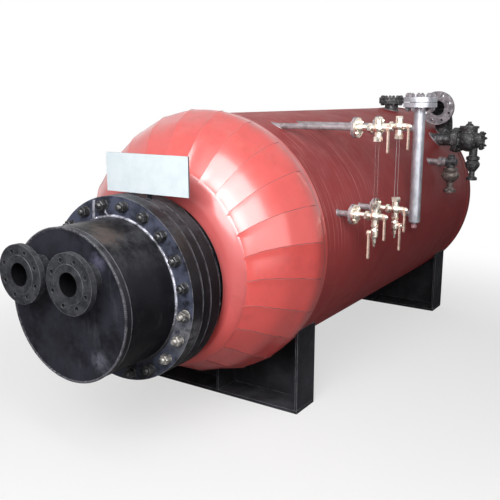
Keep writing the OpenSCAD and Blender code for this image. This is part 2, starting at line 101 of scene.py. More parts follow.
class Build:
    """Collects closed solids into one mesh."""

    def __init__(self):
        self.verts = []
        self.faces = []

    def add(self, verts, faces):
        start = len(self.verts)
        self.verts.extend(tuple(v) for v in verts)
        self.faces.extend(tuple(i + start for i in f) for f in faces)

    def grid(self, rows, closed):
        """Quads over rows of points that run round; closed joins the last row to the first."""
        n = len(rows[0])
        verts = [p for row in rows for p in row]
        faces = []
        for i in range(len(rows) if closed else len(rows) - 1):
            k = (i + 1) % len(rows)
            for j in range(n):
                m = (j + 1) % n
                faces.append((i * n + j, i * n + m, k * n + m, k * n + j))
        self.add(verts, faces)

    def caps(self, start, rows, n):
        """Closes both ends of an open grid of n points a row."""
        self.faces.append(tuple(start + k for k in reversed(range(n))))
        self.faces.append(tuple(start + (rows - 1) * n + k for k in range(n)))

    def lathe(self, profile, origin, axis, sides, turn=0.0):
        """Turns (radius, height) points about an axis; the ends are capped."""
        axis = Vector(axis).normalized()
        u, v = frame_of(axis)
        origin = Vector(origin)
        verts, faces, rings = [], [], []
        for r, h in profile:
            base = origin + axis * h
            if r < 1e-7:
                verts.append(base)
                rings.append([len(verts) - 1])
                continue
            ring = []
            for k in range(sides):
                a = turn + 2 * math.pi * k / sides
                verts.append(base + u * (r * math.cos(a)) + v * (r * math.sin(a)))
                ring.append(len(verts) - 1)
            rings.append(ring)
        for a, b in zip(rings, rings[1:]):
            for k in range(sides):
                m = (k + 1) % sides
                if len(a) == 1 and len(b) > 1:
                    faces.append((a[0], b[m], b[k]))
                elif len(b) == 1 and len(a) > 1:
                    faces.append((a[k], a[m], b[0]))
                elif len(a) > 1:
                    faces.append((a[k], a[m], b[m], b[k]))
        if len(rings[0]) > 1:
            faces.append(tuple(reversed(rings[0])))
        if len(rings[-1]) > 1:
            faces.append(tuple(rings[-1]))
        self.add(verts, faces)

    def tube(self, path, radius, sides, closed=True, normals=None):
        """Sweeps a round section along a path; radius is a number or one number a point."""
        count = len(path)
        path = [Vector(p) for p in path]
        rows = []
        for i, p in enumerate(path):
            before = path[i - 1] if closed or i else path[0]
            after = path[(i + 1) % count] if closed or i < count - 1 else path[-1]
            along = (after - before).normalized()
            if normals is None:
                u, v = frame_of(along)
            else:
                v = Vector(normals[i]).normalized()
                u = along.cross(v).normalized()
                v = u.cross(along).normalized()
            r = radius[i] if hasattr(radius, "__len__") else radius
            rows.append([p + u * (r * math.cos(a)) + v * (r * math.sin(a))
                         for a in (2 * math.pi * k / sides for k in range(sides))])
        start = len(self.verts)
        self.grid(rows, closed)
        if not closed:
            self.caps(start, count, sides)

    def nut(self, origin, axis, flats, height, turn):
        """A hexagon nut with both rims chamfered."""
        r = flats / math.sqrt(3)
        face = r * NUT_FACE
        c = flats * NUT_CHAMFER
        self.lathe([(0, 0), (face, 0), (r, c), (r, height - c), (face, height), (0, height)],
                   origin, axis, 6, turn)

    def bolt(self, origin, axis, flats, height, turn, stud):
        """Washer, nut and a threaded stud end that stand on a face at origin."""
        axis = Vector(axis).normalized()
        origin = Vector(origin)
        t = flats * WASHER_T
        rim = flats * WASHER_R
        self.lathe([(0, -SINK), (rim, -SINK), (rim, t * 0.7), (flats * WASHER_TOP_R, t), (0, t)],
                   origin, axis, 16)
        self.nut(origin + axis * (t - NUT_SINK), axis, flats, height, turn)
        r = flats * STUD_R
        base = t + height - SINK
        profile = [(0, base)]
        steps = max(2, int(stud / (flats * STUD_PITCH)))
        for k in range(steps):
            h = base + SINK + stud * k / steps
            profile += [(r * STUD_ROOT, h), (r, h + stud * 0.5 / steps)]
        profile += [(r * STUD_TIP, base + SINK + stud), (0, base + SINK + stud)]
        self.lathe(profile, origin, axis, 12)


def piece(name, build, material, angle, body="boiler"):
    """Makes a visible piece; edges sharper than the angle stay sharp."""
    mesh = bpy.data.meshes.new(name)
    mesh.from_pydata(build.verts, [], build.faces)
    work = bmesh.new()
    work.from_mesh(mesh)
    bmesh.ops.recalc_face_normals(work, faces=work.faces)
    work.to_mesh(mesh)
    work.free()
    mesh.polygons.foreach_set("use_smooth", [True] * len(mesh.polygons))
    mesh.set_sharp_from_angle(angle=math.radians(angle))
    mesh.materials.append(material)
    obj = bpy.data.objects.new(name, mesh)
    scene.collection.objects.link(obj)
    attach(obj, body)
    return obj


# ---- materials

MIX_A, MIX_B, MIX_OUT = 6, 7, 2  # the colour sockets of a mix node
SHEEN_SHADE_Z = (0.42, 0.78)  # heights over which the ring's painted reflection and painted shade set in
RUB_REAR_Y = (0.80, 0.30)  # the barrel's rubs fade out towards the rear,
RUB_Z = (0.70, 0.90)  # below the axis
RUB_FRONT_Y = (-0.15, -0.11)  # and at the head
BORE_R, BORE_RIM_R = 0.0435, 0.047  # painted shade: the nozzles' bores are painted black inside these
SPILL_X, SPILL_Z = (0.19, 0.24), (0.74, 0.68)  # pale dust on the lower right studs
RUBBED_WELD_Z = (0.54, 0.72)  # the flange's weld is rubbed bright over these heights


def is_socket(value):
    return hasattr(value, "is_linked")


def grow(tree, kind, sockets=None, **settings):
    """Adds a node to a tree; sockets gives each input a value or another node's output."""
    made = tree.nodes.new(kind)
    for key, value in settings.items():
        setattr(made, key, value)
    for key, value in (sockets or {}).items():
        if is_socket(value):
            tree.links.new(value, made.inputs[key])
        else:
            made.inputs[key].default_value = value
    return made


class Mat:
    """A principled material with small helpers for its procedural inputs."""

    def __init__(self, name, **sockets):
        self.material = bpy.data.materials.new(name)
        self.material.use_nodes = True
        self.tree = self.material.node_tree
        self.shader = self.tree.nodes["Principled BSDF"]
        for key, value in sockets.items():
            self.shader.inputs[key.replace("_", " ")].default_value = value
        self.coord = self.node("ShaderNodeTexCoord").outputs["Object"]
        self.geometry = self.node("ShaderNodeNewGeometry")

    def node(self, kind, sockets=None, **settings):
        return grow(self.tree, kind, sockets, **settings)

    def drive(self, key, value):
        """Links an output to an input of the shader."""
        self.tree.links.new(value, self.shader.inputs[key])

    def noise(self, scale, detail, rough, stretch=(1, 1, 1), shift=(0, 0, 0), distort=0.0):
        place = self.node("ShaderNodeMapping", {"Vector": self.coord, "Scale": stretch, "Location": shift})
        made = self.node("ShaderNodeTexNoise", {
            "Vector": place.outputs["Vector"], "Scale": scale, "Detail": detail,
            "Roughness": rough, "Distortion": distort})
        return made.outputs["Fac"]

    def span(self, value, low, high, to_low=0.0, to_high=1.0):
        """Takes a value's low and high smoothly to two others."""
        made = self.node("ShaderNodeMapRange", {
            "Value": value, "From Min": low, "From Max": high, "To Min": to_low, "To Max": to_high,
        }, interpolation_type="SMOOTHSTEP")
        return made.outputs["Result"]

    def math(self, operation, a, b=0.0):
        return self.node("ShaderNodeMath", {0: a, 1: b}, operation=operation).outputs[0]

    def mix(self, factor, a, b):
        a, b = (value if is_socket(value) else (*value, 1.0) for value in (a, b))
        made = self.node("ShaderNodeMix", {"Factor": factor, MIX_A: a, MIX_B: b}, data_type="RGBA")
        return made.outputs[MIX_OUT]

    def over(self, colour, tone, share, *masks):
        """Lays a share of a tone over a colour where every mask is 1."""
        factor = masks[0]
        for mask in masks[1:]:
            factor = self.math("MULTIPLY", factor, mask)
        return self.mix(self.math("MULTIPLY", factor, share), colour, tone)

    def axis(self, name, normal=False):
        """One coordinate of the place, or of the surface's normal."""
        source = self.geometry.outputs["Normal"] if normal else self.coord
        return self.node("ShaderNodeSeparateXYZ", {0: source}).outputs[name]

    def spot(self, centre, inner, outer):
        """1 inside a ball round a point, fading to 0 at its outer radius."""
        made = self.node("ShaderNodeVectorMath", {0: self.coord, 1: centre}, operation="DISTANCE")
        return self.span(made.outputs["Value"], inner, outer, 1.0, 0.0)

    def edge(self, radius, low=0.82, high=0.97):
        """1 on sharp edges, 0 on flats."""
        bevel = self.node("ShaderNodeBevel", {"Radius": radius}, samples=4)
        dot = self.node("ShaderNodeVectorMath", {
            0: bevel.outputs["Normal"], 1: self.geometry.outputs["True Normal"],
        }, operation="DOT_PRODUCT")
        return self.span(dot.outputs["Value"], low, high, 1.0, 0.0)

    def bump(self, *layers):
        """Stacks layers of (height, strength, distance)."""
        normal = None
        for height, strength, distance in layers:
            sockets = {"Height": height, "Strength": strength, "Distance": distance}
            if normal is not None:
                sockets["Normal"] = normal
            normal = self.node("ShaderNodeBump", sockets).outputs["Normal"]
        self.drive("Normal", normal)

    def done(self, colour, rough):
        self.drive("Base Color", colour)
        self.drive("Roughness", rough)
        return self.material


def red_paint(name, fresh, faded, spec, rough, sheen_and_shade=None, **coat):
    """Red paint with grime, dust, rubs and chips; an optional upper tone is painted reflection and painted shade
    over the upper half.
    """
    m = Mat(name, Specular_IOR_Level=spec, **coat)
    colour = m.mix(m.span(m.noise(2.2, 4, 0.55), 0.35, 0.68), fresh, faded)
    # painted reflection and painted shade: the upper half turns to the given pinker, darker tone
    if sheen_and_shade:
        colour = m.mix(m.span(m.axis("Z"), *SHEEN_SHADE_Z), colour, sheen_and_shade)
    grime = m.span(m.noise(7.0, 8, 0.7), 0.46, 0.75)
    colour = m.over(colour, (0.36, 0.045, 0.045), 0.30, grime)
    upward = m.span(m.axis("Z", True), 0.25, 1.0)
    dust = m.span(m.noise(11.0, 7, 0.65), 0.42, 0.72)
    colour = m.over(colour, (0.62, 0.26, 0.235), 0.22, upward, dust)
    rubs = m.span(m.noise(38.0, 2, 0.5, (0.07, 4.2, 0.07), (3, 1, 2), 0.5), 0.62, 0.67)
    colour = m.over(colour, (0.86, 0.42, 0.38), 0.45, rubs, m.span(m.axis("Y"), *RUB_REAR_Y),
                    m.span(m.axis("Z"), *RUB_Z), m.span(m.axis("Y"), *RUB_FRONT_Y))
    chips = m.span(m.noise(150.0, 2, 0.5), 0.745, 0.765)
    colour = m.over(colour, (0.25, 0.05, 0.05), 0.5, chips)
    wear = m.span(m.noise(14.0, 5, 0.7), 0.34, 0.60)
    colour = m.over(colour, (0.88, 0.40, 0.35), 0.45, m.edge(0.004, 0.86, 0.985), wear)
    m.bump((m.noise(2.6, 2, 0.4), 0.22, 0.020), (m.noise(260.0, 2, 0.5), 0.05, 0.0006))
    return m.done(colour, m.span(m.noise(5.0, 6, 0.65), 0.3, 0.75, *rough))


def black_paint(name, dark, light, spec, dusty, rough, face=None, marks=()):
    """Black paint with dust on top, an optional painted reflection on front faces and pale edges; marks are
    (centre, radius, tone).
    """
    m = Mat(name, Specular_IOR_Level=spec)
    colour = m.mix(m.span(m.noise(4.0, 5, 0.6), 0.35, 0.7), dark, light)
    # painted reflection: faces turned to the front take a paler, bluish tone
    if face:
        front = m.span(m.axis("Y", True), -0.6, -0.95)
        colour = m.over(colour, face, 0.8, front, m.span(m.noise(11.0, 7, 0.7), 0.34, 0.62))
    soil = m.mix(m.span(m.noise(6.0, 5, 0.6, shift=(7, 1, 3)), 0.54, 0.68),
                 (0.140, 0.142, 0.155), (0.120, 0.094, 0.082))
    upward = m.span(m.axis("Z", True), 0.30, 1.0)
    colour = m.over(colour, soil, dusty, upward, m.span(m.noise(9.0, 9, 0.72), 0.36, 0.66))
    film = m.span(m.noise(16.0, 9, 0.75, shift=(2, 9, 4)), 0.50, 0.78)
    colour = m.over(colour, (0.058, 0.059, 0.072), 0.22, film)
    smear = m.span(m.noise(7.0, 6, 0.7, (1.6, 1.6, 0.5), (4, 4, 1)), 0.58, 0.74)
    colour = m.over(colour, (0.090, 0.090, 0.110), 0.30, smear)
    for centre, radius, tone in marks:
        blot = m.span(m.noise(30.0, 7, 0.7), 0.34, 0.58)
        colour = m.over(colour, tone, 0.85, m.spot(centre, radius * 0.2, radius), blot)
    wear = m.span(m.noise(22.0, 6, 0.7), 0.30, 0.55)
    colour = m.over(colour, (0.34, 0.34, 0.38), 0.85, m.edge(0.005), wear)
    m.bump((m.noise(60.0, 5, 0.6), 0.16, 0.0015), (m.noise(420.0, 2, 0.5), 0.10, 0.0004))
    return m.done(colour, m.span(m.noise(12.0, 6, 0.65), 0.3, 0.7, *rough))


def speckled_face(name, spec):
    """Dark speckled paint; the nozzles' bores are painted black and without shine, as painted shade."""
    m = Mat(name, Specular_IOR_Level=spec)
    colour = m.mix(m.span(m.noise(26.0, 6, 0.7), 0.36, 0.64), (0.017, 0.018, 0.021), (0.048, 0.049, 0.056))
    pits = m.span(m.noise(75.0, 5, 0.7, shift=(3, 6, 1)), 0.56, 0.66)
    colour = m.over(colour, (0.008, 0.008, 0.010), 0.85, pits)
    wear = m.span(m.noise(40.0, 5, 0.7), 0.30, 0.55)
    colour = m.over(colour, (0.22, 0.22, 0.24), 0.7, m.edge(0.004), wear)
    side = m.math("SUBTRACT", m.math("ABSOLUTE", m.axis("X")), NOZZLE_X)
    rise = m.math("SUBTRACT", m.axis("Z"), NOZZLE_Z)
    away = m.math("SQRT", m.math("ADD", m.math("MULTIPLY", side, side), m.math("MULTIPLY", rise, rise)))
    # painted shade: inside the bore the face turns black and loses its shine
    colour = m.mix(m.span(away, BORE_RIM_R, BORE_R), colour, (0.004, 0.004, 0.005))
    m.drive("Specular IOR Level", m.span(away, BORE_R, BORE_RIM_R, 0.0, spec))
    m.bump((m.noise(110.0, 5, 0.65), 0.35, 0.0016))
    return m.done(colour, m.span(m.noise(50.0, 5, 0.6), 0.3, 0.7, 0.45, 0.70))


def joint_line(name):
    # dark line at the foot of a lap: sealant, and painted shade in the lap's crease
    m = Mat(name, Specular_IOR_Level=0.15)
    colour = m.mix(m.span(m.noise(25.0, 5, 0.6), 0.35, 0.65), (0.24, 0.068, 0.066), (0.35, 0.105, 0.102))
    m.bump((m.noise(200.0, 3, 0.5), 0.2, 0.0006))
    return m.done(colour, m.span(m.noise(60.0, 5, 0.6), 0.3, 0.7, 0.6, 0.8))


def brass(name, bright, dull, tarnished, metal):
    m = Mat(name, Metallic=metal)
    colour = m.mix(m.span(m.noise(38.0, 6, 0.65), 0.33, 0.68), bright, dull)
    tarnish = m.span(m.noise(85.0, 7, 0.7, shift=(4, 2, 7)), 0.56, 0.70)
    colour = m.over(colour, tarnished, 0.5, tarnish)
    colour = m.over(colour, (0.98, 0.92, 0.78), 0.7, m.edge(0.002))
    m.bump((m.noise(180.0, 4, 0.6), 0.12, 0.0006))
    return m.done(colour, m.span(m.noise(60.0, 5, 0.6), 0.3, 0.7, 0.20, 0.42))


def glass(name):
    m = Mat(name, Transmission_Weight=1.0, IOR=1.06)
    colour = m.mix(m.span(m.noise(20.0, 4, 0.6), 0.3, 0.7), (0.985, 0.995, 0.99), (0.95, 0.98, 0.975))
    m.bump((m.noise(90.0, 2, 0.5), 0.03, 0.0004))
    return m.done(colour, m.span(m.noise(45.0, 6, 0.7, (1, 1, 0.25)), 0.45, 0.75, 0.02, 0.22))


def silver_paint(name):
    m = Mat(name, Metallic=0.55, Specular_IOR_Level=0.5)
    colour = m.mix(m.span(m.noise(18.0, 6, 0.65), 0.33, 0.68), (0.53, 0.54, 0.59), (0.39, 0.40, 0.445))
    stain = m.span(m.noise(30.0, 7, 0.7, (1, 1, 0.22), (6, 1, 3)), 0.54, 0.72)
    colour = m.over(colour, (0.20, 0.19, 0.20), 0.55, stain)
    colour = m.over(colour, (0.72, 0.73, 0.78), 0.6, m.edge(0.003))
    m.bump((m.noise(220.0, 4, 0.6), 0.15, 0.0006), (m.noise(35.0, 3, 0.5), 0.10, 0.002))
    return m.done(colour, m.span(m.noise(40.0, 5, 0.6), 0.3, 0.7, 0.30, 0.50))


def grey_pipe(name):
    m = Mat(name, Metallic=0.25, Specular_IOR_Level=0.4)
    colour = m.mix(m.span(m.noise(24.0, 6, 0.65), 0.33, 0.68), (0.36, 0.32, 0.34), (0.20, 0.175, 0.185))
    rust = m.span(m.noise(48.0, 8, 0.72, shift=(1, 8, 2)), 0.52, 0.70)
    colour = m.over(colour, (0.16, 0.062, 0.030), 0.6, rust)
    m.bump((m.noise(200.0, 4, 0.6), 0.2, 0.0007))
    return m.done(colour, m.span(m.noise(40.0, 5, 0.6), 0.3, 0.7, 0.40, 0.62))


def cast_iron(name, dark, mid, pale, share):
    """Mottled casting; pale spots take less of it as the share rises."""
    m = Mat(name, Specular_IOR_Level=0.4, Metallic=0.15)
    colour = m.mix(m.span(m.noise(30.0, 7, 0.7), 0.36, 0.64), dark, mid)
    spots = m.span(m.noise(52.0, 8, 0.75, shift=(3, 3, 9)), share, share + 0.11)
    colour = m.over(colour, pale, 0.8, spots)
    colour = m.over(colour, pale, 0.65, m.edge(0.003))
    m.bump((m.noise(150.0, 5, 0.65), 0.45, 0.0016), (m.noise(30.0, 3, 0.5), 0.2, 0.003))
    return m.done(colour, m.span(m.noise(50.0, 5, 0.6), 0.3, 0.7, 0.40, 0.66))


def white_board(name):
    """Plain white paint with faint marks; its thin sides are painted dark as painted shade."""
    m = Mat(name, Specular_IOR_Level=0.4)
    colour = m.mix(m.span(m.noise(14.0, 6, 0.65), 0.35, 0.7), (0.705, 0.775, 0.81), (0.64, 0.715, 0.75))
    marks = m.span(m.noise(40.0, 7, 0.7, (1, 1, 0.5), (2, 2, 2)), 0.60, 0.76)
    colour = m.over(colour, (0.46, 0.46, 0.43), 0.3, marks)
    # painted shade: faces turned away from the front are painted dark
    rim = m.span(m.math("ABSOLUTE", m.axis("Y", True)), 0.6, 0.3)
    colour = m.over(colour, (0.10, 0.10, 0.12), 0.9, rim)
    m.bump((m.noise(120.0, 3, 0.5), 0.08, 0.0006))
    return m.done(colour, m.span(m.noise(25.0, 5, 0.6), 0.3, 0.7, 0.38, 0.55))


def gasket(name):
    m = Mat(name, Specular_IOR_Level=0.2)
    colour = m.mix(m.span(m.noise(60.0, 5, 0.6), 0.35, 0.7), (0.050, 0.050, 0.052), (0.11, 0.105, 0.10))
    m.bump((m.noise(300.0, 4, 0.6), 0.2, 0.0005))
    return m.done(colour, m.span(m.noise(80.0, 4, 0.6), 0.3, 0.7, 0.7, 0.9))


def dusty_steel(name):
    m = Mat(name, Specular_IOR_Level=0.4, Metallic=0.2)
    colour = m.mix(m.span(m.noise(30.0, 6, 0.65), 0.36, 0.66), (0.012, 0.012, 0.014), (0.045, 0.044, 0.046))
    spill = m.span(m.noise(40.0, 7, 0.7), 0.38, 0.60)
    colour = m.over(colour, (0.40, 0.375, 0.345), 0.8, m.span(m.axis("X"), *SPILL_X),
                    m.span(m.axis("Z"), *SPILL_Z), spill)
    wear = m.span(m.noise(70.0, 5, 0.7), 0.38, 0.6)
    colour = m.over(colour, (0.30, 0.30, 0.31), 0.7, m.edge(0.002), wear)
    m.bump((m.noise(200.0, 4, 0.6), 0.25, 0.0007))
    return m.done(colour, m.span(m.noise(60.0, 5, 0.6), 0.3, 0.7, 0.36, 0.6))


def pale_weld(name):
    m = Mat(name, Specular_IOR_Level=0.5, Metallic=0.35)
    rubbed = m.math("MULTIPLY", m.span(m.noise(18.0, 6, 0.7), 0.36, 0.60), m.span(m.axis("Z"), *RUBBED_WELD_Z))
    colour = m.mix(rubbed, (0.045, 0.045, 0.052), (0.50, 0.50, 0.58))
    m.bump((m.noise(160.0, 4, 0.6), 0.3, 0.001))
    return m.done(colour, m.span(m.noise(60.0, 5, 0.6), 0.3, 0.7, 0.30, 0.5))


COAT = dict(Coat_Weight=0.8, Coat_Roughness=0.19, Coat_IOR=1.55)
GLOSS = dict(spec=0.25, rough=(0.32, 0.48), **COAT)
SATIN = dict(spec=0.14, dusty=0.62, rough=(0.30, 0.50))

RED = red_paint("red_cladding_gloss", fresh=(0.78, 0.104, 0.094), faded=(0.69, 0.085, 0.078), **GLOSS)
# the ring's red is a darker copy of the gores' red, as painted shade, with a painted reflection and painted shade
# over its upper half
RED_RING = red_paint("red_ring_painted_sheen_shade", fresh=(0.66, 0.084, 0.076), faded=(0.58, 0.070, 0.064),
                     sheen_and_shade=(0.60, 0.118, 0.118), **GLOSS)
JOINT = joint_line("cladding_joint")
# the barrel's red is a darker copy of the gores' red: painted shade; its low gloss is the paint's own
RED_SIDE = red_paint("red_cladding_dull", fresh=(0.42, 0.061, 0.062), faded=(0.35, 0.051, 0.053),
                     spec=0.14, rough=(0.44, 0.62))
BLACK = black_paint("black_satin_paint", dark=(0.005, 0.005, 0.007), light=(0.010, 0.010, 0.013),
                    spec=0.09, dusty=0.55, rough=(0.34, 0.54),
                    marks=[((0.135, -0.960, 0.972), 0.085, (0.095, 0.070, 0.060))])
# the cover's front face carries a faint bluish painted reflection
BLACK_COVER = black_paint("black_cover_paint", dark=(0.008, 0.008, 0.011), light=(0.020, 0.020, 0.026),
                          face=(0.030, 0.030, 0.042), **SATIN,
                          # the two bluish marks beside the right nozzle are painted reflections
                          marks=[((0.170, COVER_Y, 0.895), 0.055, (0.100, 0.100, 0.150)),
                                 ((0.160, COVER_Y, 0.515), 0.060, (0.120, 0.120, 0.150))])
# the flange's front face carries a bluish painted reflection
BLACK_FLANGE = black_paint("black_flange_paint", dark=(0.006, 0.006, 0.008), light=(0.015, 0.015, 0.019),
                           face=(0.088, 0.098, 0.145), **SATIN,
                           marks=[((0.325, FACE_Y, 0.570), 0.120, (0.170, 0.170, 0.185))])
# the saddle's black is lighter than the other blacks: painted fill light for parts that get little light
BLACK_DULL = black_paint("black_dull_paint", dark=(0.019, 0.019, 0.022), light=(0.046, 0.046, 0.054),
                         spec=0.08, dusty=0.25, rough=(0.60, 0.80))
SPECKLED = speckled_face("speckled_flange", spec=0.18)
BRASS = brass("worn_brass", bright=(0.84, 0.79, 0.715), dull=(0.68, 0.60, 0.51), tarnished=(0.30, 0.21, 0.14),
              metal=1.0)
LEVER = brass("pale_lever_brass", bright=(0.84, 0.62, 0.52), dull=(0.70, 0.48, 0.38), tarnished=(0.46, 0.28, 0.20),
              metal=0.25)
GLASS = glass("gauge_glass")
SILVER = silver_paint("aluminium_paint")
PIPE = grey_pipe("grey_pipe_paint")
IRON = cast_iron("mottled_casting", dark=(0.009, 0.009, 0.011), mid=(0.050, 0.050, 0.054), pale=(0.27, 0.26, 0.27),
                 share=0.52)
IRON_PALE = cast_iron("pale_casting", dark=(0.12, 0.108, 0.12), mid=(0.30, 0.275, 0.30), pale=(0.50, 0.47, 0.50),
                      share=0.50)
CAP = cast_iron("dull_pink_cap", dark=(0.30, 0.13, 0.15), mid=(0.46, 0.23, 0.26), pale=(0.62, 0.40, 0.44),
                share=0.50)
BRONZE = cast_iron("brown_casting", dark=(0.060, 0.048, 0.044), mid=(0.150, 0.115, 0.100), pale=(0.42, 0.36, 0.33),
                   share=0.52)
WHITE = white_board("white_board_paint")
GASKET = gasket("sheet_gasket")
BOLTING = dusty_steel("dusty_bolting")
PALE_WELD = pale_weld("rubbed_weld")

SLOT_LOOKS = {
    "red_cladding": RED, "black_paint": BLACK, "gasket": GASKET, "brass": BRASS, "glass": GLASS,
    "silver_paint": SILVER, "grey_pipe": PIPE, "cast_iron": IRON, "white_board": WHITE,
}
NODE_LOOKS = {
    "shell_barrel": RED_SIDE, "rear_head": RED_SIDE, "left_nozzle": SPECKLED, "right_nozzle": SPECKLED,
    "channel_cover": BLACK_COVER, "channel_flange": BLACK_FLANGE, "outlet_flange": IRON_PALE, "feed_valve": BRONZE,
    "saddle_webs": BLACK_DULL, "saddle_ribs": BLACK_DULL, "saddle_bases": BLACK_DULL,
    "front_steam_lever": LEVER, "rear_steam_lever": LEVER, "front_water_lever": LEVER, "rear_water_lever": LEVER,
    "front_drain_lever": LEVER, "rear_drain_lever": LEVER,
}
for part in frame["record"]["subparts"]:
    mesh = nodes[part["node"]].data
    mesh.materials.clear()
    mesh.materials.append(NODE_LOOKS.get(part["node"], SLOT_LOOKS[part["material_slot"]]))

# ---- clad front head: gores that lap one another, and the smooth ring inside them
# t runs along the head from 0 at the shell's seam to 1 at its small end

RING_T = 0.765  # where the gores meet the ring
PROUD = (0.018, 0.05, 0.10)  # the cladding's swell beside the shell: height, t and spread
DRAWN = (0.027, 0.56, 0.27)  # how it is drawn in towards the small end: depth, t and spread

GORES = 24
FIRST_GORE = 6  # degrees
GORE_COVER = 0.9992  # share of its angle that a gore covers
FAN, FAN_AT = math.radians(12), math.radians(50)  # how far, and about where, the gores fan off centre
GORE_LIFT = 0.003
GORE_FLAT, FLAT_T = 0.62, 0.12  # how flat a gore is across, and by which t it is so
LAP, LAP_WIDTH, LAP_POWER, LAP_T = 0.0034, 0.20, 1.2, 0.06  # height, share of a gore, curve, full height by t
GORE_ROWS, ROW_POWER, GORE_END = 26, 0.9, 1.015  # the gores end a little under the ring
GORE_STEPS = 8
GORE_DEPTH = WALL * 0.9

JOINT_R, JOINT_LIFT = 0.0026, 0.0006
JOINT_STEPS, JOINT_SIDES = 33, 6
JOINT_START, JOINT_SHORT = 0.02, 0.025  # in t

RING_UNDER = 0.012  # in t, how far the ring starts under the gores
RING_ROWS, RING_SIDES = 12, 144
RING_LIFT, RING_EDGE_LIFT, RING_DEPTH = 0.0055, 0.0040, 0.006
TAPER_ROWS, TAPER_LEFT = 4, 0.1  # the ring thins to this share over its last rows


def head_point(t, angle):
    """Point of the lofted head."""
    mix = math.cos(t * math.pi / 2) ** HEAD_FULL if t < 1 else 0.0
    r = SMALL_R + (SHELL_R - SMALL_R) * mix
    y = SEAM_Y - HEAD_LEN * math.sin(t * math.pi / 2) ** HEAD_FULL
    z = AXIS_Z - (AXIS_Z - CHANNEL_Z) * (1 - mix)
    return Vector((r * math.cos(angle), y, z + r * math.sin(angle)))


def head_normal(t, angle):
    d = 1e-3
    t = min(max(t, 2 * d), 1 - 2 * d)
    along = head_point(t + d, angle) - head_point(t - d, angle)
    around = head_point(t, angle + d) - head_point(t, angle - d)
    return around.cross(along).normalized()


def swell(t, height, centre, spread):
    return height * math.exp(-((t - centre) / spread) ** 2)


def settle(t):
    """How far the cladding lies off the loft."""
    return swell(t, *PROUD) - swell(t, *DRAWN)


def gore_angle(g, t):
    """Angle at t of the seam where gore g starts; a fraction of g lies inside the gore."""
    b = math.radians(FIRST_GORE + 360 / GORES * g)
    return b + FAN * math.cos(b + FAN_AT) * min(t / RING_T, 1.0)


def head_skin():
    build = Build()
    outer, inner = [], []
    for i in range(GORE_ROWS + 1):
        t = RING_T * GORE_END * (i / GORE_ROWS) ** ROW_POWER
        flat = GORE_FLAT * min(1.0, t / FLAT_T)
        row, back = [], []
        for g in range(GORES):
            left, right = gore_angle(g, t), gore_angle(g + GORE_COVER, t)
            p0, p1 = head_point(t, left), head_point(t, right)
            for k in range(GORE_STEPS + 1):
                u = k / GORE_STEPS
                a = left + (right - left) * u
                n = head_normal(t, a)
                p = head_point(t, a)
                rise = max(0.0, (u - (1 - LAP_WIDTH)) / LAP_WIDTH) ** LAP_POWER
                lap = LAP * rise * min(1.0, t / LAP_T)
                row.append(p.lerp(p0.lerp(p1, u), flat) + n * (lap + GORE_LIFT + settle(t)))
                back.append(p + n * (settle(t) - GORE_DEPTH))
        outer.append(row)
        inner.append(back)
    build.grid(outer + inner[::-1], True)
    return build


def gore_joints():
    """Dark line along the foot of each lap: sealant, and painted shade in the lap's crease."""
    build = Build()
    for g in range(GORES):
        path, normals = [], []
        for k in range(JOINT_STEPS + 1):
            t = JOINT_START + (RING_T - JOINT_SHORT) * k / JOINT_STEPS
            a = gore_angle(g, t)
            n = head_normal(t, a)
            path.append(head_point(t, a) + n * (GORE_LIFT + settle(t) + JOINT_LIFT))
            normals.append(n)
        build.tube(path, JOINT_R, JOINT_SIDES, False, normals)
    return build


def head_ring():
    build = Build()
    start = RING_T - RING_UNDER
    outer, inner = [], []
    for i in range(RING_ROWS + 1):
        t = start + (1.0 - start) * i / RING_ROWS
        lift = RING_LIFT if i else RING_EDGE_LIFT
        lift *= min(1.0, (RING_ROWS - i) / TAPER_ROWS) * (1 - TAPER_LEFT) + TAPER_LEFT
        row, back = [], []
        for k in range(RING_SIDES):
            a = 2 * math.pi * k / RING_SIDES
            n = head_normal(t, a)
            p = head_point(t, a)
            row.append(p + n * (settle(t) + lift))
            back.append(p + n * (settle(t) - RING_DEPTH))
        outer.append(row)
        inner.append(back)
    build.grid(outer + inner[::-1], True)
    return build


skin = piece("head_gores", head_skin(), RED, 30)
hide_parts("front_head")
piece("head_inner_ring", head_ring(), RED_RING, 40)
piece("gore_joints", gore_joints(), JOINT, 60)

# ---- lap bands at the two ends of the straight cladding, as (radius, distance from the end)

FRONT_BAND = [(0.600, 0.0), (0.6120, 0.001), (0.6130, 0.004), (0.6125, 0.008), (0.6105, 0.014), (0.6060, 0.048),
              (0.6068, 0.051), (0.6055, 0.055), (0.600, 0.057)]
REAR_BAND = [(0.600, 0.0), (0.6035, 0.001), (0.6045, 0.004), (0.6035, 0.008), (0.6022, 0.012), (0.6022, 0.048),
             (0.6035, 0.052), (0.6035, 0.055), (0.600, 0.057)]
BAND_BACK = [(0.597, 0.057), (0.597, 0.0)]
BIG_ROUND = 180  # points of a large circle


def circle(centre, r, count, along_x=False):
    """Points of a circle about a line along Y, or along X."""
    x, y, z = centre
    out = []
    for k in range(count):
        a = 2 * math.pi * k / count
        c, s = r * math.cos(a), r * math.sin(a)
        out.append((x, y + c, z + s) if along_x else (x + c, y, z + s))
    return out


for name, y, way, band, look in (("front_lap_band", SEAM_Y, 1, FRONT_BAND, RED),
                                 ("rear_lap_band", REAR_Y, -1, REAR_BAND, RED_SIDE)):
    build = Build()
    build.grid([circle((0, y + way * h, AXIS_Z), r, BIG_ROUND) for r, h in band + BAND_BACK], True)
    piece(name, build, look, 50)

# ---- body flange studs

STUDS, FIRST_STUD, STUD_CIRCLE_R = 20, 9.8, 0.350
STUD_FLATS, STUD_NUT = 0.037, 0.026
FRONT_ENDS, REAR_ENDS = (0.010, 0.018), (0.006, 0.012)  # range of the studs' free ends
REAR_TURN = 0.4

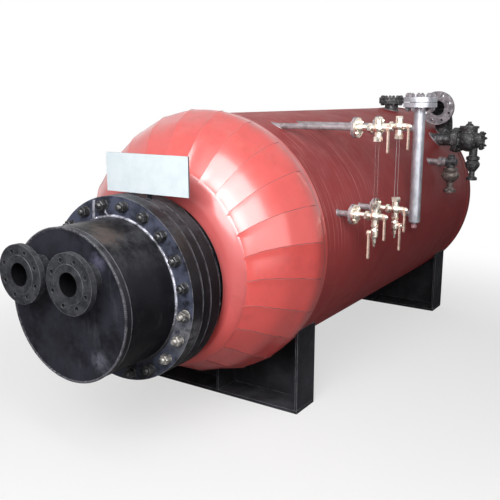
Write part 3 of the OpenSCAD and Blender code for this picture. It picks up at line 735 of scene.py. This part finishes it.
studs = Build()
for k in range(STUDS):
    a = math.radians(FIRST_STUD + 360 / STUDS * k)
    x, z = STUD_CIRCLE_R * math.cos(a), CHANNEL_Z + STUD_CIRCLE_R * math.sin(a)
    turn = rng.uniform(0, math.pi / 3)
    studs.bolt((x, FACE_Y, z), FORWARD, STUD_FLATS, STUD_NUT, turn, rng.uniform(*FRONT_ENDS))
    studs.bolt((x, NECK_Y, z), BACKWARD, STUD_FLATS, STUD_NUT, turn + REAR_TURN, rng.uniform(*REAR_ENDS))
piece("body_flange_studs", studs, BOLTING, 30)

# ---- narrow strip and bent rod on the flange's face

STRIP_LOW, STRIP_HIGH = Vector((-0.1223, FACE_Y, 0.9742)), Vector((-0.1160, FACE_Y, 1.0654))
STRIP_SECTION = [(-0.0055, 0.001), (-0.0055, -0.0030), (-0.0040, -0.0045),
                 (0.0040, -0.0045), (0.0055, -0.0030), (0.0055, 0.001)]
STRIP_STEPS, STRIP_BOW = 8, 0.0010
ROD = [(-0.0716, 1.0568), (-0.0600, 1.0560), (-0.0520, 1.0470), (-0.0500, 1.0380), (-0.0540, 1.0250),
       (-0.0500, 1.0170), (-0.0400, 1.0110), (-0.0340, 1.0040)]
ROD_R, ROD_LIFT, ROD_STEPS, ROD_SIDES = 0.0042, 0.003, 5, 8


def smooth_path(points, steps):
    """Catmull-Rom curve through flat points, without its last point."""
    out = []
    for i in range(len(points) - 1):
        near = [points[max(i - 1, 0)], points[i], points[i + 1], points[min(i + 2, len(points) - 1)]]
        for k in range(steps):
            t = k / steps
            weights = (-0.5 * t + t * t - 0.5 * t ** 3, 1 - 2.5 * t * t + 1.5 * t ** 3,
                       0.5 * t + 2 * t * t - 1.5 * t ** 3, -0.5 * t * t + 0.5 * t ** 3)
            out.append(tuple(sum(w * p[n] for w, p in zip(weights, near)) for n in (0, 1)))
    return out


strip = Build()
strip_rows = []
for k in range(STRIP_STEPS + 1):
    p = STRIP_LOW.lerp(STRIP_HIGH, k / STRIP_STEPS)
    bow = STRIP_BOW * math.sin(math.pi * k / STRIP_STEPS)
    strip_rows.append([p + Vector((a, b - bow, 0)) for a, b in STRIP_SECTION])
strip.grid(strip_rows, False)
strip.caps(0, len(strip_rows), len(STRIP_SECTION))
strip.tube([(x, FACE_Y - ROD_LIFT, z) for x, z in smooth_path(ROD, ROD_STEPS)], ROD_R, ROD_SIDES, False)
piece("flange_strip_and_rod", strip, PALE_WELD, 40)

# ---- weld beads

RIPPLE_POINTS, LEAST_POINTS = 3, 24
RIPPLE_HIGH, RIPPLE_LOW, RIPPLE_ODD = 0.16, -0.08, 0.05  # shares of the bead's radius
BEAD_SIDES = 7
COARSE, FINE = 0.007, 0.006  # ripple pitch
PIPE_ROUND, BRANCH_ROUND = 72, 48  # points round a pipe
BRANCH_END_X, BRANCH_END_R = 0.634, 0.0175  # where a branch meets the standpipe


def rippled(path, radius, pitch):
    """Path and radii of a weld bead with one ripple each pitch."""
    points = [Vector(p) for p in path]
    marks, total = [], 0.0
    for i in range(len(points)):
        marks.append(total)
        total += (points[(i + 1) % len(points)] - points[i]).length
    count = max(LEAST_POINTS, int(total / pitch) * RIPPLE_POINTS)
    out = []
    k = 0
    for j in range(count):
        d = total * j / count
        while k + 1 < len(points) and marks[k + 1] <= d:
            k += 1
        a, b = points[k], points[(k + 1) % len(points)]
        out.append(a.lerp(b, (d - marks[k]) / max((b - a).length, 1e-9)))
    radii = []
    for j in range(count):
        ripple = RIPPLE_HIGH if j % RIPPLE_POINTS == 1 else RIPPLE_LOW
        radii.append(radius * (1.0 + ripple + rng.uniform(-RIPPLE_ODD, RIPPLE_ODD)))
    return out, radii


def bead(build, path, radius, pitch=COARSE):
    points, radii = rippled(path, radius, pitch)
    build.tube(points, radii, BEAD_SIDES)


def ring_bead(build, y, grow_r, radius):
    """Bead round the channel's axis, a little wider or narrower than the channel."""
    bead(build, circle((0, y, CHANNEL_Z), CHANNEL_R + grow_r, BIG_ROUND), radius)


def side_meet(y, z, r):
    """Where a pipe along X meets the shell's side."""
    out = []
    for k in range(PIPE_ROUND):
        a = 2 * math.pi * k / PIPE_ROUND
        h = z + r * math.sin(a)
        out.append((math.sqrt(SHELL_R ** 2 - (h - AXIS_Z) ** 2), y + r * math.cos(a), h))
    return out


def top_meet(x, y, r):
    """Where an upright pipe meets the shell's top."""
    out = []
    for k in range(PIPE_ROUND):
        a = 2 * math.pi * k / PIPE_ROUND
        px = x + r * math.cos(a)
        out.append((px, y + r * math.sin(a), AXIS_Z + math.sqrt(SHELL_R ** 2 - px ** 2)))
    return out


channel_weld = Build()
ring_bead(channel_weld, FACE_Y - 0.001, 0.003, 0.0065)
piece("channel_flange_weld", channel_weld, PALE_WELD, 70)

cover_weld = Build()
ring_bead(cover_weld, COVER_Y, -0.0015, 0.0040)
piece("channel_cover_weld", cover_weld, BLACK, 70)

neck_weld = Build()
ring_bead(neck_weld, NECK_Y + 0.001, 0.002, 0.0060)
ring_bead(neck_weld, HEAD_Y - 0.001, 0.002, 0.0060)
piece("neck_welds", neck_weld, BLACK, 70)

pipe_welds = Build()
for y in GAUGE_YS:
    for z in (GAUGE_HIGH, GAUGE_LOW):
        bead(pipe_welds, side_meet(y, z, GAUGE_PIPE_R), 0.0040, FINE)
for z in BRANCH_ZS:
    bead(pipe_welds, side_meet(STAND_Y, z, BRANCH_R), 0.0045, FINE)
    bead(pipe_welds, circle((BRANCH_END_X, STAND_Y, z), BRANCH_END_R, BRANCH_ROUND, True), 0.0035, FINE)
bead(pipe_welds, side_meet(FEED_Y, FEED_Z, BRANCH_R), 0.0045, FINE)
bead(pipe_welds, side_meet(STOP_Y, STOP_Z, STOP_PIPE_R), 0.0055)
bead(pipe_welds, top_meet(CROWN_X, CROWN_Y, CROWN_R), 0.0055)
bead(pipe_welds, top_meet(OUTLET_X, OUTLET_Y, OUTLET_R), 0.0060)
piece("pipe_welds", pipe_welds, PIPE, 70)

# ---- small bolting

GAUGE_BOLTS = dict(pcd=0.064, count=4, flats=0.011, height=0.006, start=math.pi / 4, stud=0.002)
STAND_BOLTS = dict(pcd=0.134, count=8, flats=0.022, height=0.014, start=0.2, stud=0.006)
CROWN_BOLTS = dict(pcd=0.130, count=8, flats=0.018, height=0.009, start=0.2, stud=0.003)
STOP_BOLTS = dict(pcd=0.128, count=8, flats=0.020, height=0.012, start=0.39)
BONNET_BOLTS = dict(pcd=0.092, count=6, flats=0.016, height=0.010, start=0.3, stud=0.005)
STAND_TOP_Z, STAND_UNDER_Z = 1.473, 1.422  # faces of the standpipe's cover and flange
CROWN_TOP_Z, CROWN_UNDER_Z = 1.472, 1.432  # faces of the crown nozzle's cover and flange
PLUG_NUT = dict(flats=0.028, height=0.017, turn=0.3)
PLUG_PROFILE = [(0.0125, 0.0155), (0.0125, 0.021), (0.0105, 0.023), (0, 0.023)]


def ring_of_bolts(build, centre, axis, pcd, count, flats, height, start, stud):
    u, v = frame_of(axis)
    for k in range(count):
        a = start + 2 * math.pi * k / count
        p = Vector(centre) + u * (pcd / 2 * math.cos(a)) + v * (pcd / 2 * math.sin(a))
        build.bolt(p, axis, flats, height, rng.uniform(0, 1), stud)


gauge_bolts = Build()
for y in GAUGE_YS:
    for z in (GAUGE_HIGH, GAUGE_LOW):
        ring_of_bolts(gauge_bolts, (GAUGE_FACE + 0.009, y, z), OUTWARD, **GAUGE_BOLTS)
        ring_of_bolts(gauge_bolts, (GAUGE_FACE - 0.012, y, z), INWARD, **GAUGE_BOLTS)
piece("gauge_flange_bolts", gauge_bolts, BRASS, 30)

stand_bolts = Build()
ring_of_bolts(stand_bolts, (STAND_X, STAND_Y, STAND_TOP_Z), UP, **STAND_BOLTS)
ring_of_bolts(stand_bolts, (STAND_X, STAND_Y, STAND_UNDER_Z), DOWN, **STAND_BOLTS)
piece("standpipe_bolts", stand_bolts, IRON_PALE, 30)

plug = Build()
plug.nut((STAND_X, STAND_Y, STAND_FOOT_Z), UP, **PLUG_NUT)
plug.lathe(PLUG_PROFILE, (STAND_X, STAND_Y, STAND_FOOT_Z), UP, 16)
piece("standpipe_plug", plug, CAP, 30)

top_bolts = Build()
ring_of_bolts(top_bolts, (CROWN_X, CROWN_Y, CROWN_TOP_Z), UP, **CROWN_BOLTS)
ring_of_bolts(top_bolts, (CROWN_X, CROWN_Y, CROWN_UNDER_Z), DOWN, **CROWN_BOLTS)
piece("top_cover_bolts", top_bolts, IRON, 30)

valve_bolts = Build()
ring_of_bolts(valve_bolts, (STOP_X - 0.058, STOP_Y, STOP_Z), OUTWARD, **STOP_BOLTS, stud=0.006)
ring_of_bolts(valve_bolts, (STOP_X - 0.094, STOP_Y, STOP_Z), INWARD, **STOP_BOLTS, stud=0.004)
ring_of_bolts(valve_bolts, (STOP_X + 0.088, STOP_Y, STOP_Z), OUTWARD, **BONNET_BOLTS)
piece("stop_valve_bolts", valve_bolts, BOLTING, 30)

# ---- stage: a white floor and surround that cast little light of their own

FLOOR_X, FLOOR_Y, FLOOR_Z = 0.3, 0.6, -0.0005
FLOOR_RINGS = (0.001, 2.0, 4.0, 8.0, 16.0, 40.0)
FLOOR_SIDES = 64
FLOOR_PALE, FLOOR_BOUNCE = (0.90, 0.90, 0.90, 1), (0.32, 0.32, 0.32, 1)  # as seen, and as it lights the part
FADE_AT, FADE_FROM, FADE_TO, FADE_GLOW = (0.2, 0.5, 0.0), 1.2, 3.6, 0.62  # from a shadowed middle to plain white
AMBIENT, AMBIENT_STRENGTH = (0.93, 0.96, 1.0, 1), 0.10
WHITE_LIGHT = (1, 1, 1, 1)


def either(tree, a, b):
    return grow(tree, "ShaderNodeMath", {0: a, 1: b}, operation="MAXIMUM").outputs[0]


def mix_shaders(tree, factor, a, b):
    return grow(tree, "ShaderNodeMixShader", {"Fac": factor, 1: a.outputs[0], 2: b.outputs[0]})


floor_build = Build()
floor_turns = [2 * math.pi * k / FLOOR_SIDES for k in range(FLOOR_SIDES)]
floor_build.grid([[(FLOOR_X + r * math.cos(a), FLOOR_Y + r * math.sin(a), FLOOR_Z) for a in floor_turns]
                  for r in FLOOR_RINGS], False)
floor_mesh = bpy.data.meshes.new("studio_floor")
floor_mesh.from_pydata(floor_build.verts, [], floor_build.faces)
floor = bpy.data.objects.new("studio_floor", floor_mesh)
scene.collection.objects.link(floor)

floor_look = bpy.data.materials.new("studio_floor_white")
floor_look.use_nodes = True
tree = floor_look.node_tree
tree.nodes.clear()
shade = grow(tree, "ShaderNodeBsdfDiffuse", {"Color": FLOOR_PALE})
bounce = grow(tree, "ShaderNodeBsdfDiffuse", {"Color": FLOOR_BOUNCE})
glow = grow(tree, "ShaderNodeEmission", {"Color": WHITE_LIGHT, "Strength": 1.0})
rays = grow(tree, "ShaderNodeLightPath").outputs
seen = either(tree, rays["Is Camera Ray"], rays["Is Transmission Ray"])
coords = grow(tree, "ShaderNodeTexCoord")
away = grow(tree, "ShaderNodeVectorMath", {0: coords.outputs["Object"], 1: FADE_AT}, operation="DISTANCE")
fade = grow(tree, "ShaderNodeMapRange", {
    "Value": away.outputs["Value"], "From Min": FADE_FROM, "From Max": FADE_TO, "To Min": FADE_GLOW, "To Max": 1.0,
}, interpolation_type="SMOOTHSTEP")
view = mix_shaders(tree, fade.outputs["Result"], shade, glow)
blend = mix_shaders(tree, seen, bounce, view)
grow(tree, "ShaderNodeOutputMaterial", {"Surface": blend.outputs[0]})
floor_mesh.materials.append(floor_look)

world = bpy.data.worlds.new("studio")
scene.world = world
world.use_nodes = True
tree = world.node_tree
tree.nodes.clear()
ambient = grow(tree, "ShaderNodeBackground", {"Color": AMBIENT, "Strength": AMBIENT_STRENGTH})
white = grow(tree, "ShaderNodeBackground", {"Color": WHITE_LIGHT, "Strength": 1.0})
rays = grow(tree, "ShaderNodeLightPath").outputs
seen = either(tree, either(tree, rays["Is Camera Ray"], rays["Is Glossy Ray"]), rays["Is Transmission Ray"])
choose = mix_shaders(tree, seen, ambient, white)
grow(tree, "ShaderNodeOutputWorld", {"Surface": choose.outputs[0]})

# ---- light


def softbox(name, centre, target, along, width, height, radiance):
    """Rectangular lamp of even radiance that faces a target; along gives the way of its width."""
    lamp = bpy.data.lights.new(name, "AREA")
    lamp.shape = "RECTANGLE"
    lamp.size = width
    lamp.size_y = height
    lamp.energy = radiance * math.pi * width * height
    obj = bpy.data.objects.new(name, lamp)
    scene.collection.objects.link(obj)
    back = (Vector(centre) - Vector(target)).normalized()
    across = Vector(along)
    across = (across - back * across.dot(back)).normalized()
    up = back.cross(across)
    obj.matrix_world = Matrix.Translation(centre) @ Matrix((across, up, back)).transposed().to_4x4()
    return obj


def heading(az, el):
    """Direction at az degrees from -Y towards +X, and el degrees up."""
    a, e = math.radians(az), math.radians(el)
    return Vector((math.sin(a) * math.cos(e), -math.cos(a) * math.cos(e), math.sin(e)))


HIGHLIGHT = Vector((0.22, -0.36, 1.10))  # where the head shines
ALONG = heading(64, 16) - heading(0, 68)  # the way its highlight runs
SIDEWAYS = Vector((1, 0, 0))
KEY_AT = HIGHLIGHT + heading(17, 24) * 3.4
SKY_AT = HIGHLIGHT + heading(42, 34) * 3.1
STRIP_AT = HIGHLIGHT + heading(36, 46) * 3.1
SIDE_AT = HIGHLIGHT + heading(80, 6) * 3.1
BACK_AT, BACK_TARGET = Vector((-3.2, 5.6, 4.2)), Vector((0, 1.0, 0.8))

softbox("key_softbox", KEY_AT, HIGHLIGHT, SIDEWAYS, width=1.9, height=1.6, radiance=11.0)
softbox("sky_softbox", SKY_AT, HIGHLIGHT, ALONG, width=3.7, height=0.62, radiance=8.0)
strip_light = softbox("highlight_strip", STRIP_AT, HIGHLIGHT, ALONG, width=4.0, height=1.5, radiance=12.5)
strip_light.visible_diffuse = False
side_light = softbox("side_strip", SIDE_AT, HIGHLIGHT, ALONG, width=1.9, height=1.8, radiance=3.2)
side_light.visible_diffuse = False
back_light = softbox("back_fill", BACK_AT, BACK_TARGET, SIDEWAYS, width=3.0, height=3.0, radiance=2.0)
back_light.visible_glossy = False

# ---- the photo's camera

CAMERA_AT = (1.94127, -2.75105, 1.47161)
YAW, PITCH = 0.5793044, -0.2170657  # from +Y towards -X, and up
SENSOR, LENS = 36.0, 49.788
CLIP_END = 200.0

camera_data = bpy.data.cameras.new("photo_camera")
camera_data.sensor_width = SENSOR
camera_data.lens = LENS
camera_data.clip_end = CLIP_END
camera = bpy.data.objects.new("photo_camera", camera_data)
scene.collection.objects.link(camera)
ahead = Vector((-math.sin(YAW) * math.cos(PITCH), math.cos(YAW) * math.cos(PITCH), math.sin(PITCH)))
right = ahead.cross(Vector((0, 0, 1))).normalized()
above = right.cross(ahead)
camera.matrix_world = Matrix.Translation(CAMERA_AT) @ Matrix((right, above, -ahead)).transposed().to_4x4()
scene.camera = camera

scene.view_settings.view_transform = "Standard"
